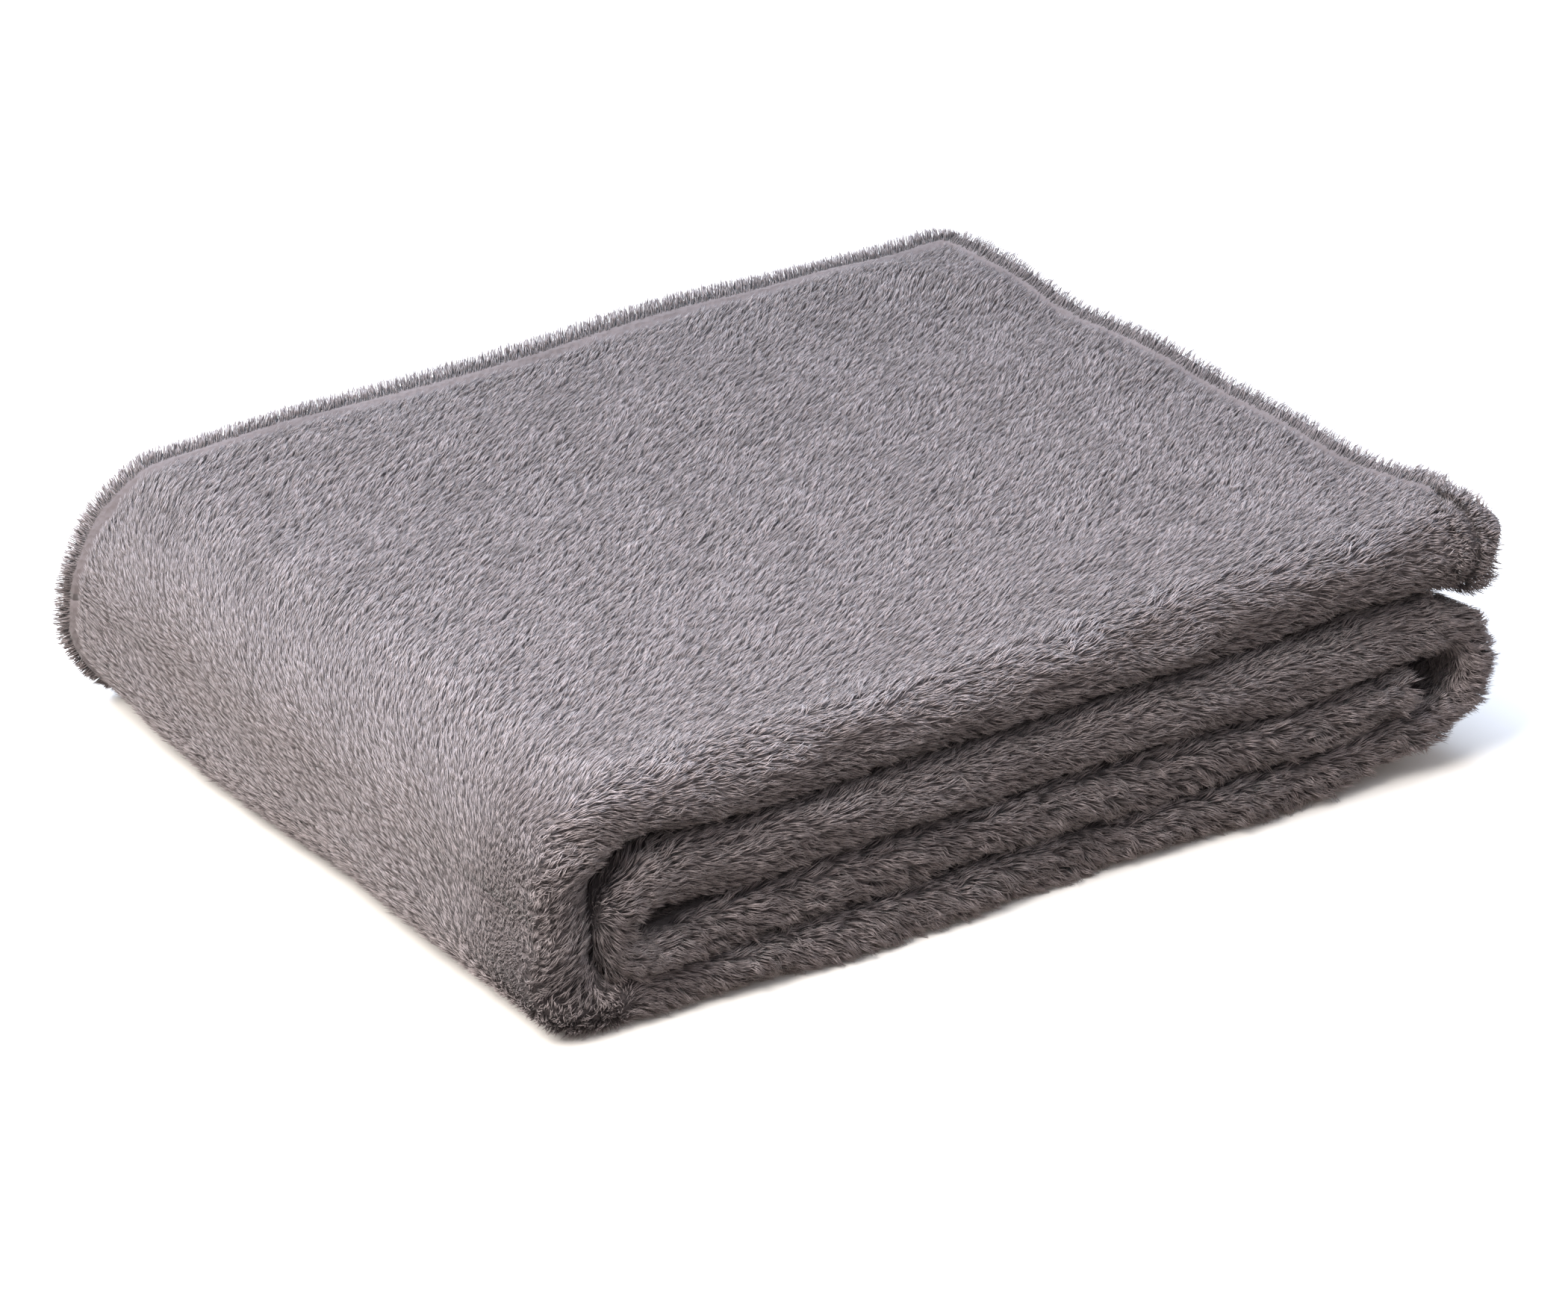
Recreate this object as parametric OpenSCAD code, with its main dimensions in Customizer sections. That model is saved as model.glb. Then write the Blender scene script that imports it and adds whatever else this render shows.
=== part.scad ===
// Folded plush throw blanket.
// A hemmed throw is folded in half twice across its width, which makes a strip of four plies.
// The strip is then rolled flat like a spiral, so that four strip layers lie on each other:
//   top flap, upper bend, wrap side, lower bend, bottom layer,
//   roll bend, second layer, inner bend, third layer.
// X runs across the strip, from the hemmed edges (-X) to the round double fold (+X).
// Y runs along the strip, from the wrap side (-Y) to the free end of the top flap (+Y).
// The origin is the middle of the face that it rests on.

/* [Throw] */
// Width of the strip, a quarter of the open throw's width less what the folds take up
strip_w = 320; // [240:5:400]
// Length of the folded stack, a quarter of the open throw's length
stack_l = 400; // [320:5:520]
// Width of the turned hem
hem_w = 12; // [8:1:20]

/* [Layers] */
// Thickness of the top flap, which nothing presses on
top_t = 29.5; // [24:0.5:34]
// Thickness of the second layer
second_t = 24.5; // [20:0.5:28]
// Thickness of the third layer
third_t = 21.5; // [18:0.5:24]
// Thickness of the bottom layer, which carries the rest
bottom_t = 18.5; // [16:0.5:22]
// Thickness of the strip in the two outer bends
bend_t = 24; // [20:0.5:26]
// Outer radius of the upper and the lower bend
bend_r = 40; // [36:1:44]

/* [Hidden] */

$fn = 64;

height = top_t + second_t + third_t + bottom_t;
hem_edge = -strip_w / 2;
fold_edge = strip_w / 2;
flap_end = stack_l / 2;
wrap_face = -stack_l / 2;

// Gap between the flap, which lifts, and the layer that it lies on
flap_gap = 0.4;
// How far the roll's round end stays behind the flap's free end
roll_setback = 7;
// Sewing thread, sunk into a groove in the hem
thread_w = 1;
thread_inset = 2;

// Heights of the layers' lower faces
third_z = bottom_t;
second_z = third_z + third_t;
top_z = second_z + second_t;

// Centre line of the outer bends
bend_y = wrap_face + bend_r;
lower_bend_z = bend_r;
upper_bend_z = height - bend_r;

// The roll bend joins the bottom layer to the second layer
roll_r = top_z / 2;
roll_t = (bottom_t + second_t) / 2;
roll_y = flap_end - roll_setback - roll_r;

// The inner bend joins the second layer to the third layer
inner_r = (second_t + third_t) / 2;
inner_z = bottom_t + inner_r;
inner_hole_r = 1;
inner_t = inner_r - inner_hole_r;
inner_clear = 1;
// Where the inner bend's round end just clears the end face of the lower bend
inner_rise = inner_z - bend_t;
inner_y = bend_y + sqrt(inner_r * inner_r - inner_rise * inner_rise) + inner_clear;

cloth_top = [0.6, 0.58, 0.61];
cloth_wrap = [0.62, 0.58, 0.57];
cloth_inside = [0.36, 0.32, 0.31];
hem_colour = [0.46, 0.42, 0.42];
thread_colour = [0.3, 0.28, 0.28];

// The strip's cross-section. The first coordinate is the depth, from the inner face at 0
// to the outer face at t, and the second runs across the strip.
// Both folds of the four plies are round, and the notch at the hemmed edge takes the hems.
module strip_section(t) {
    hairpin_r = t / 4;
    translate([0, hem_edge + hem_w]) square([t, strip_w - hem_w - t / 2]);
    translate([t / 2, fold_edge - t / 2]) circle(r = t / 2);
    translate([0, hem_edge + hairpin_r]) square([t / 2, hem_w]);
    translate([hairpin_r, hem_edge + hairpin_r]) circle(r = hairpin_r);
}

// Two turned hems, one on the other, with the groove for the thread in the outer one
module hem_section(t) {
    hem_t = t / 4;
    difference() {
        for (ply = [2, 3]) {
            translate([ply * hem_t, hem_edge + hem_t / 2]) square([hem_t, hem_w - hem_t / 2]);
            translate([(ply + 0.5) * hem_t, hem_edge + hem_t / 2]) circle(r = hem_t / 2);
        }
        thread_section(t);
    }
}

module thread_section(t) {
    translate([t - thread_w, hem_edge + hem_w - thread_inset - thread_w]) square([thread_w, thread_w]);
}

// Turns a section's depth, width and extrusion into Z, X and Y
module along_y(from, to) {
    translate([0, from, 0]) rotate([90, 0, 90]) rotate([90, 0, 90]) linear_extrude(height = to - from) children();
}

// A flat run of the strip whose outer face is up, with its lower face at z
module run_up(from, to, z) {
    translate([0, 0, z]) along_y(from, to) children();
}

// A flat run of the strip whose outer face is down, with its upper face at z
module run_down(from, to, z) {
    translate([0, 0, z]) along_y(from, to) mirror([1, 0]) children();
}

// A bend of the strip about a line along X. Angles go from +Y towards +Z.
module bend(y, z, inner, start, sweep) {
    translate([0, y, z]) rotate([90, 0, 90]) rotate([0, 0, start])
        rotate_extrude(angle = sweep) translate([inner, 0]) children();
}

module top_flap_run() { run_up(bend_y, flap_end - hem_w, top_z + flap_gap) children(); }
module upper_bend_run() { bend(bend_y, upper_bend_z, bend_r - bend_t, 90, 90) children(); }
module lower_bend_run() { bend(bend_y, lower_bend_z, bend_r - bend_t, 180, 90) children(); }
module wrap_side_run() {
    translate([0, wrap_face + bend_t, lower_bend_z]) rotate([0, 0, -90])
        linear_extrude(height = upper_bend_z - lower_bend_z) children();
}
module bottom_layer_run() { run_down(bend_y, roll_y, bottom_t) children(); }
module roll_bend_run() { bend(roll_y, roll_r, roll_r - roll_t, -90, 180) children(); }
module second_layer_run() { run_up(inner_y, roll_y, second_z) children(); }
module inner_bend_run() { bend(inner_y, inner_z, inner_hole_r, 90, 180) children(); }
module third_layer_run() { run_down(inner_y, roll_y - hem_w, second_z) children(); }

module top_flap() { color(cloth_top) top_flap_run() strip_section(top_t - flap_gap); }
module upper_bend() { color(cloth_wrap) upper_bend_run() strip_section(bend_t); }
module wrap_side() { color(cloth_wrap) wrap_side_run() strip_section(bend_t); }
module lower_bend() { color(cloth_wrap) lower_bend_run() strip_section(bend_t); }
module bottom_layer() { color(cloth_inside) bottom_layer_run() strip_section(bottom_t); }
module roll_bend() { color(cloth_inside) roll_bend_run() strip_section(roll_t); }
module second_layer() { color(cloth_inside) second_layer_run() strip_section(second_t); }
module inner_bend() { color(cloth_inside) inner_bend_run() strip_section(inner_t); }
module third_layer() { color(cloth_inside) third_layer_run() strip_section(third_t); }

module top_flap_hem() { color(hem_colour) top_flap_run() hem_section(top_t - flap_gap); }
module upper_bend_hem() { color(hem_colour) upper_bend_run() hem_section(bend_t); }
module wrap_side_hem() { color(hem_colour) wrap_side_run() hem_section(bend_t); }
module lower_bend_hem() { color(hem_colour) lower_bend_run() hem_section(bend_t); }
module bottom_layer_hem() { color(hem_colour) bottom_layer_run() hem_section(bottom_t); }
module roll_bend_hem() { color(hem_colour) roll_bend_run() hem_section(roll_t); }
module second_layer_hem() { color(hem_colour) second_layer_run() hem_section(second_t); }
module inner_bend_hem() { color(hem_colour) inner_bend_run() hem_section(inner_t); }
module third_layer_hem() { color(hem_colour) third_layer_run() hem_section(third_t); }

// The hem across the strip's end: four turned plies with round edges, lying on each other
module end_hem(from, z, t) {
    ply_t = t / 4;
    length = strip_w - t / 2;
    for (ply = [0:3]) {
        translate([hem_edge, from, z + ply * ply_t]) cube([length, hem_w - ply_t / 2, ply_t]);
        translate([hem_edge, from + hem_w - ply_t / 2, z + (ply + 0.5) * ply_t])
            rotate([0, 90, 0]) cylinder(r = ply_t / 2, h = length);
    }
}

module end_groove(from, z) {
    translate([hem_edge, from + thread_inset, z - thread_w]) cube([strip_w - top_t / 2, thread_w, thread_w]);
}

module top_flap_end_hem() {
    color(hem_colour) difference() {
        end_hem(flap_end - hem_w, top_z + flap_gap, top_t - flap_gap);
        end_groove(flap_end - hem_w, height);
    }
}
module third_layer_end_hem() { color(hem_colour) end_hem(roll_y - hem_w, third_z, third_t); }

module top_flap_thread() { color(thread_colour) top_flap_run() thread_section(top_t - flap_gap); }
module top_flap_end_thread() { color(thread_colour) end_groove(flap_end - hem_w, height); }
module wrap_side_thread() { color(thread_colour) wrap_side_run() thread_section(bend_t); }
module bottom_layer_thread() { color(thread_colour) bottom_layer_run() thread_section(bottom_t); }

top_flap();
upper_bend();
wrap_side();
lower_bend();
bottom_layer();
roll_bend();
second_layer();
inner_bend();
third_layer();
top_flap_hem();
upper_bend_hem();
wrap_side_hem();
lower_bend_hem();
bottom_layer_hem();
roll_bend_hem();
second_layer_hem();
inner_bend_hem();
third_layer_hem();
top_flap_end_hem();
third_layer_end_hem();
top_flap_thread();
top_flap_end_thread();
wrap_side_thread();
bottom_layer_thread();
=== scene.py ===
"""Looks of the folded plush throw: the cloth of the spiral stack, its hems and stitches, and its pile."""

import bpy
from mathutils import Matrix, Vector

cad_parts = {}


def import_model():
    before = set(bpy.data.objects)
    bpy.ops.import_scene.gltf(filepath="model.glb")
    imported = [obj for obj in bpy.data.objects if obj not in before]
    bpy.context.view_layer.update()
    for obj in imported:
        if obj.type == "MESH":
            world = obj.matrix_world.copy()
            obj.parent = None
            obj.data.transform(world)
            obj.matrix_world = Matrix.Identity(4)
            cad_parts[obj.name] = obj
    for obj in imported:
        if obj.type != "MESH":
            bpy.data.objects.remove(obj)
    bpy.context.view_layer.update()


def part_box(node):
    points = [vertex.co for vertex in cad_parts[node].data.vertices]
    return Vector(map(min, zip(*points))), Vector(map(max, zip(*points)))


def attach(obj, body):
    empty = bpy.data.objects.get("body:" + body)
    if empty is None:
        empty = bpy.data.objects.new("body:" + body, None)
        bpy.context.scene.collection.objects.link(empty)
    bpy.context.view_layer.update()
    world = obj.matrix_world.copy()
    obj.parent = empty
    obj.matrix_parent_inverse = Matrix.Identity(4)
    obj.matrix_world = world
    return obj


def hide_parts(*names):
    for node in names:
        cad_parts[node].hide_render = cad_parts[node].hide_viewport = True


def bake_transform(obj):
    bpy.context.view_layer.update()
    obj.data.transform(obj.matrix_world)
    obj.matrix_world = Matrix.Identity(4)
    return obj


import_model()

from math import pi, radians, sin, cos

import bpy
import numpy as np
from mathutils import Vector

MM = 0.001
rng = np.random.default_rng(23)

# ---------------------------------------------------------------- sizes, from the frame

flap_low, flap_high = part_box("top_flap")
end_low, end_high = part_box("top_flap_end_hem")
bend_low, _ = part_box("upper_bend")
wrap_low, wrap_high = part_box("wrap_side")
roll_low, roll_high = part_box("roll_bend")
inner_low, inner_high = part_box("inner_bend")
_, bottom_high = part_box("bottom_layer")
second_low, second_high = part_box("second_layer")
third_low, third_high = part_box("third_layer")

HEM_EDGE = flap_low.x
FOLD_EDGE = flap_high.x
FLAP_END = end_high.y
HEIGHT = flap_high.z
BEND_Y = flap_low.y
BEND_R = BEND_Y - bend_low.y
ROLL_Y = roll_low.y
ROLL_R = roll_high.z / 2
# The inner bend is pushed up against the wrap side
INNER_Y = inner_high.y - 9 * MM
INNER_R = (inner_high.z - inner_low.z) / 2
FLAP_T = flap_high.z - flap_low.z
BOTTOM_T = bottom_high.z
SECOND_T = second_high.z - second_low.z
THIRD_T = third_high.z - third_low.z
BEND_T = wrap_high.y - wrap_low.y
HEM_W = end_high.y - end_low.y
# The strip thins at the inner bend, which leaves a small pocket inside it
POCKET_T = 18.5 * MM
# The hems lie over each other at the flap's free end, which makes it plumper
END_T = FLAP_T + 4 * MM

# The third layer stops this far short of the roll
HOLLOW = 5 * MM
# The roll's wall is thinner than the layers it joins
ROLL_WALL_T = 15 * MM

# The pile stands this far over the cloth's ground, so that its tips reach the CAD's faces
PILE_H = 2.3 * MM

# ---------------------------------------------------------------- the strip's path

# Each stretch of the strip's outer face, from the flap's free end: its length, and its radius if it bends
WALL = HEIGHT - 2 * BEND_R
STRETCHES = [
    (FLAP_END - BEND_Y, None),
    (BEND_R * pi / 2, BEND_R),
    (WALL, None),
    (BEND_R * pi / 2, BEND_R),
    (ROLL_Y - BEND_Y, None),
    (ROLL_R * pi, ROLL_R),
    (ROLL_Y - INNER_Y, None),
    (INNER_R * pi, INNER_R),
    (ROLL_Y - INNER_Y - HOLLOW, None),
]
KNOTS = np.cumsum([0] + [length for length, _ in STRETCHES])
S_FLAP, S_UPPER, S_WALL, S_LOWER, S_BOTTOM, S_ROLL, S_SECOND, S_INNER, S_END = KNOTS[1:]
S_MID = (S_UPPER + S_WALL) / 2
# Where the cloth that bends with the wrap side hands over to the cloth that stays in the stack
S_REST = S_LOWER + 30 * MM

# How thick the strip is, from knot to knot along it
THICKNESS = [
    (0, END_T),
    (35 * MM, FLAP_T),
    (S_FLAP - 20 * MM, FLAP_T),
    (S_UPPER - 10 * MM, BEND_T),
    (S_LOWER - 10 * MM, BEND_T),
    (S_LOWER + 30 * MM, BOTTOM_T),
    (S_BOTTOM - 5 * MM, BOTTOM_T),
    (S_BOTTOM + 25 * MM, ROLL_WALL_T),
    (S_ROLL - 25 * MM, ROLL_WALL_T),
    (S_ROLL + 5 * MM, SECOND_T),
    (S_SECOND - 25 * MM, SECOND_T),
    (S_SECOND, POCKET_T),
    (S_INNER, POCKET_T),
    (S_INNER + 25 * MM, THIRD_T),
    (S_END, THIRD_T),
]


def thickness(s):
    return np.interp(s, [knot for knot, _ in THICKNESS], [t for _, t in THICKNESS])


def path(s):
    """The strip's outer face at arc length s: its point (y, z), and the angle of its outward normal."""
    s = np.asarray(s, float)
    y, z, angle = np.zeros_like(s), np.zeros_like(s), np.zeros_like(s)
    at_y, at_z, at_angle = FLAP_END, HEIGHT, pi / 2
    for (length, radius), start in zip(STRETCHES, KNOTS):
        here = s >= start
        along = np.clip(s[here] - start, 0, length)
        if radius is None:
            y[here] = at_y - sin(at_angle) * along
            z[here] = at_z + cos(at_angle) * along
            angle[here] = at_angle
            at_y -= sin(at_angle) * length
            at_z += cos(at_angle) * length
        else:
            centre_y = at_y - radius * cos(at_angle)
            centre_z = at_z - radius * sin(at_angle)
            turned = at_angle + along / radius
            y[here] = centre_y + radius * np.cos(turned)
            z[here] = centre_z + radius * np.sin(turned)
            angle[here] = turned
            at_angle += length / radius
            at_y = centre_y + radius * cos(at_angle)
            at_z = centre_z + radius * sin(at_angle)
    return y, z, angle


def place(s, x, depth, across, out):
    """Points at arc length s, x across the strip and depth under its outer face, and their unit normals:
    across is a normal's share along X, and out its share along the outer face's normal."""
    y, z, angle = path(s)
    out_y, out_z = np.cos(angle), np.sin(angle)
    points = np.stack([x + 0 * y, y - depth * out_y, z - depth * out_z], axis=1)
    normals = np.stack([across + 0 * y, out * out_y, out * out_z], axis=1)
    return points, normals


# ---------------------------------------------------------------- soft shapes

def ease(v, low, high):
    """0 below low, 1 above high, and smooth between them."""
    t = np.clip((v - low) / (high - low), 0, 1)
    return t * t * (3 - 2 * t)


def bump(v, middle, width):
    """1 at the middle, and falling off smoothly on both sides."""
    return np.exp(-((v - middle) / width) ** 2)


WAVES = 6


def wave(p, length, seed):
    """Smooth noise from about -1 to 1 over points p, with features about length long."""
    picks = np.random.default_rng(seed)
    total = np.zeros(len(p))
    for _ in range(WAVES):
        way = picks.normal(size=3)
        way *= 2 * pi / length / np.linalg.norm(way) * picks.uniform(0.6, 1.3)
        total += np.sin(p @ way + picks.uniform(0, 2 * pi))
    return total / WAVES ** 0.5


CORNER_R = 20 * MM
# The wrinkle: how far in from the corner its centre lies, its radius, its width and its height
WRINKLE_IN = 75 * MM
WRINKLE_R = 50 * MM
WRINKLE_W = 26 * MM
WRINKLE_H = 2.2 * MM


def round_corner(p, x, y, on_flap):
    """The hem's corner at the flap's free end is round, and a wrinkle runs round it inside the hem."""
    a = np.clip((CORNER_R - (x - HEM_EDGE)) / CORNER_R, 0, 1)
    b = np.clip((CORNER_R - (FLAP_END - y)) / CORNER_R, 0, 1)
    p[:, 0] += a * (1 - np.sqrt(1 - b * b / 2)) * CORNER_R * on_flap
    p[:, 1] -= b * (1 - np.sqrt(1 - a * a / 2)) * CORNER_R * on_flap
    from_centre = np.hypot(x - HEM_EDGE - WRINKLE_IN, y - FLAP_END + WRINKLE_IN)
    crest = np.cos((from_centre - WRINKLE_R - 6 * MM) / WRINKLE_W * pi)
    swell = crest * bump(from_centre, WRINKLE_R, WRINKLE_W)
    near = ease(-x, 70 * MM, 110 * MM) * ease(y, 60 * MM, 150 * MM)
    p[:, 2] += (WRINKLE_H * swell + 2.5 * MM) * near * on_flap


def bulge(side_y, side_z, radius):
    """How far a quarter bend gives at a point this far past its centre, as a share of the most, and the
    point's direction. It gives most half way round."""
    out = np.hypot(side_y, side_z) + 1e-9
    share = (2 * side_y * side_z / out ** 2) ** 1.5 * (out / radius) ** 2
    return share, side_y / out, side_z / out


def round_upper_bend(p, x, y, z):
    """Towards the hem the upper bend is slacker, and the top begins to fall earlier."""
    share, way_y, way_z = bulge(np.clip(BEND_Y - y, 0, None), np.clip(z - HEIGHT + BEND_R, 0, None), BEND_R)
    slack = 2.5 * MM * share * ease(-x, 60 * MM, 150 * MM)
    p[:, 1] += slack * way_y
    p[:, 2] -= slack * way_z
    fall = ease(-y, 100 * MM, 165 * MM) * ease(-x, 30 * MM, 140 * MM)
    p[:, 2] -= 3.7 * MM * fall * ease(z, HEIGHT / 2, HEIGHT - FLAP_T)


def square_lower_bend(p, x, y, z):
    """The weight above squeezes the lower bend, so that it bulges at its outer corner, less so at the hem."""
    share, way_y, way_z = bulge(np.clip(BEND_Y - y, 0, None), np.clip(BEND_R - z, 0, None), BEND_R)
    push = 6 * MM * share * (1 - 0.8 * ease(-x, 60 * MM, 150 * MM))
    p[:, 1] -= push * way_y
    p[:, 2] -= push * way_z


def square_roll(p, y, z, on_flap):
    """The flap presses on the roll, so that it bulges at its upper corner."""
    share, way_y, way_z = bulge(np.clip(y - ROLL_Y, 0, None), np.clip(z - ROLL_R, 0, None), ROLL_R)
    push = 3 * MM * share * (1 - on_flap)
    p[:, 1] += push * way_y
    p[:, 2] += 0.6 * push * way_z


FOLD_END_R = 15 * MM


def round_fold_end(p, x, y, z, on_flap):
    """At the flap's free end the fold closes in a round nose."""
    across = np.clip(1 - (FOLD_EDGE - x) / FOLD_END_R, 0, 1)
    by_fold = ease(x, FOLD_EDGE - 3 * FOLD_END_R, FOLD_EDGE - FOLD_END_R)
    along_height = (z - HEIGHT + FLAP_T / 2) / (FLAP_T / 2) * by_fold
    off_nose = np.clip(across ** 2 + along_height ** 2, 0, 1)
    near_end = ease(y, FLAP_END - 3 * FOLD_END_R, FLAP_END)
    p[:, 1] -= near_end * (1 - np.sqrt(1 - 0.92 * off_nose)) * FOLD_END_R * on_flap


def slide_far_end(p, x, y, z, on_flap):
    """The far end reaches further at the fold than at the hem, and the roll lifts the bottom layer."""
    at_fold = ease(x, 90 * MM, 155 * MM)
    reach = 8 * MM * at_fold - 10 * MM * (1 - at_fold) * on_flap
    p[:, 1] += reach * ease(y, 80 * MM, FLAP_END)
    p[:, 2] += 3.5 * MM * ease(y, 90 * MM, ROLL_Y) * (1 - ease(z, 0, 50 * MM))
    p[:, 2] += 7 * MM * ease(y, 110 * MM, FLAP_END) * (1 - ease(z, 10 * MM, 68 * MM))


def sink_inner_bend(p, y, z):
    """The inner bend sinks into the layer under it."""
    low, high = 0.12 * HEIGHT, HEIGHT - FLAP_T
    sink = np.sin(pi * np.clip((z - low) / (high - low), 0, 1)) * bump(y, INNER_Y, 45 * MM)
    p[:, 2] -= 6 * MM * sink * ease(y, BEND_Y - 20 * MM, BEND_Y - 5 * MM)


FREE_END_RISE = 0.03
HEM_SIDE_RISE = 2 * MM


def tilt(p, x, y, up):
    """The free end lies a little higher than the wrap side, and the hemmed side than the folds."""
    p[:, 2] *= 1 + FREE_END_RISE * y / FLAP_END
    p[:, 2] += HEM_SIDE_RISE * ease(-x, 50 * MM, 140 * MM) * (1 - ease(y, 0, 120 * MM)) * up ** 2


def ripple(p, x, y, up):
    """Long soft ridges along the strip and low hollows, edges that wander, and a wrap side that swells."""
    ridges = 1.2 * MM * wave(p * [1, 0.25, 0], 60 * MM, 3)
    hollows = 0.5 * MM * wave(p * [1, 1, 0], 170 * MM, 4)
    p[:, 2] += (ridges + hollows) * up ** 2
    folds = ease(x, 90 * MM, 150 * MM)
    p[:, 0] += folds * 1.8 * MM * wave(p * [0, 0.6, 2.6], 100 * MM, 5)
    p[:, 0] += folds * 0.9 * MM * wave(p * [0, 1, 3], 45 * MM, 6)
    off_faces = np.clip(3 * up, 0, 1) * np.clip(4 - 4 * up, 0, 1)
    p[:, 2] += folds * 0.9 * MM * wave(p * [0, 1, 1], 80 * MM, 7) * off_faces
    hems = ease(-x, 90 * MM, 150 * MM)
    p[:, 0] += hems * 1.3 * MM * wave(p * [0, 1, 3], 70 * MM, 8)
    wrap = ease(-y, 150 * MM, 190 * MM)
    p[:, 1] += wrap * 1.2 * MM * wave(p, 90 * MM, 9)


def rest_on_floor(p):
    """The floor flattens whatever would hang below it."""
    skin = 1 * MM
    p[:, 2] = np.where(p[:, 2] < skin, skin * np.exp((p[:, 2] - skin) / skin), p[:, 2])


def settle(p):
    """How the soft stack gives: one small, smooth shift for the cloth, the stitches and the pile alike."""
    p = p.copy()
    x, y, z = p[:, 0].copy(), p[:, 1].copy(), p[:, 2].copy()
    up = z / HEIGHT
    under_flap = HEIGHT - FLAP_T - 8 * MM * ease(y, ROLL_Y, FLAP_END)
    on_flap = ease(z, under_flap - 6 * MM, under_flap + 1 * MM)
    round_corner(p, x, y, on_flap)
    round_upper_bend(p, x, y, z)
    square_lower_bend(p, x, y, z)
    square_roll(p, y, z, on_flap)
    round_fold_end(p, x, y, z, on_flap)
    slide_far_end(p, x, y, z, on_flap)
    sink_inner_bend(p, y, z)
    tilt(p, x, y, up)
    ripple(p, x, y, up)
    rest_on_floor(p)
    return p


BAND_RISE = 2.2 * MM
GROOVE_DEPTH = 2.6 * MM
GROOVE_W = 2.0 * MM


def hem_profile(distance):
    """How far the cloth stands proud at a distance from its hemmed edge: a plump band, then the groove
    that the stitches pull in."""
    band = BAND_RISE * (1 - ease(distance, HEM_W - 3 * MM, HEM_W))
    return band - GROOVE_DEPTH * bump(distance, HEM_W, GROOVE_W)


# The round double fold on the strip's long side is a superellipse, a little squarer than a half circle
SQUARENESS = 2.15
FOLD_POWER = 2 / SQUARENESS


def fold_curve(angle, t, inset):
    """The fold's face, inset from the CAD's: x, depth, and its normal's shares across and outward."""
    half = t / 2 - inset
    c, v = np.cos(angle), np.sin(angle)
    x = FOLD_EDGE - t / 2 + half * np.abs(c) ** FOLD_POWER
    depth = t / 2 - half * np.sign(v) * np.abs(v) ** FOLD_POWER
    across = np.abs(c) ** (2 - FOLD_POWER)
    out = np.sign(v) * np.abs(v) ** (2 - FOLD_POWER)
    size = np.hypot(across, out)
    return x, depth, across / size, out / size


# ---------------------------------------------------------------- the cloth

def new_mesh(name, verts, corners, face_size, uv=None):
    """A mesh object from arrays: corners lists each face's vertices, face_size of them a face."""
    mesh = bpy.data.meshes.new(name)
    count = len(corners) // face_size
    mesh.vertices.add(len(verts))
    mesh.vertices.foreach_set("co", np.ascontiguousarray(verts, np.float32).ravel())
    mesh.loops.add(len(corners))
    mesh.loops.foreach_set("vertex_index", np.ascontiguousarray(corners, np.int32))
    mesh.polygons.add(count)
    mesh.polygons.foreach_set("loop_start", np.arange(count, dtype=np.int32) * face_size)
    if uv is not None:
        layer = mesh.uv_layers.new(name="OFBake")
        layer.data.foreach_set("uv", np.ascontiguousarray(uv[corners], np.float32).ravel())
    mesh.update(calc_edges=True)
    mesh.polygons.foreach_set("use_smooth", np.ones(count, bool))
    piece = bpy.data.objects.new(name, mesh)
    bpy.context.scene.collection.objects.link(piece)
    return piece


PLIES = 4
# Samples crowd towards the hems by this power
CROWDING = 1.8


def ply_thickness(t):
    return (t - 2 * PILE_H) / PLIES


def ply_line(t):
    """The cloth's middle line through the plies of a strip t thick, from the upper hem to the lower one:
    its samples' x, depth, and normal's shares across and outward, and the length run so far."""
    ply = ply_thickness(t)
    hem = HEM_EDGE + PILE_H
    right = FOLD_EDGE - t / 2
    level = [PILE_H + (n + 0.5) * ply for n in range(PLIES)]
    k = np.linspace(0, 1, 44)
    half = np.linspace(-pi / 2, pi / 2, 9)[1:-1]
    fold_x, fold_depth, _, _ = fold_curve(np.linspace(pi / 2, -pi / 2, 17)[1:-1], t, PILE_H + ply / 2)
    runs = [
        (hem + (right - hem) * k ** CROWDING, level[0] + 0 * k),
        (fold_x, fold_depth),
        (right + (hem + ply - right) * k, level[3] + 0 * k),
        (hem + ply - ply / 2 * np.cos(half), level[3] - ply / 2 - ply / 2 * np.sin(half)),
        (hem + ply + (right - hem - ply) * k, level[2] + 0 * k),
        (right + ply / 2 * np.cos(half), level[2] - ply / 2 - ply / 2 * np.sin(half)),
        (hem + (right - hem) * (1 - k) ** CROWDING, level[1] + 0 * k),
    ]
    line = np.concatenate([np.stack(run, 1) for run in runs])
    slope = np.gradient(line, axis=0)
    slope /= np.linalg.norm(slope, axis=1, keepdims=True)
    along = np.concatenate([[0], np.cumsum(np.hypot(*np.diff(line, axis=0).T))])
    return line[:, 0], line[:, 1], slope[:, 1], slope[:, 0], along


def lengthwise(start, end, step):
    """Arc lengths from start to end, closer together near a hemmed end."""
    s = list(np.linspace(start, end, int((end - start) / step) + 2))
    fine = np.arange(0.8, 16, 1.2) * MM
    if start == 0:
        s += list(fine)
    if end == S_END:
        s += list(S_END - fine)
    return np.unique(s)


# A ply's half thickness, as a share of its pitch
HALF_PLY = 0.47
# The outermost ply ends before this share of the middle line
OUTER_PLY = 0.24


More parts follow.
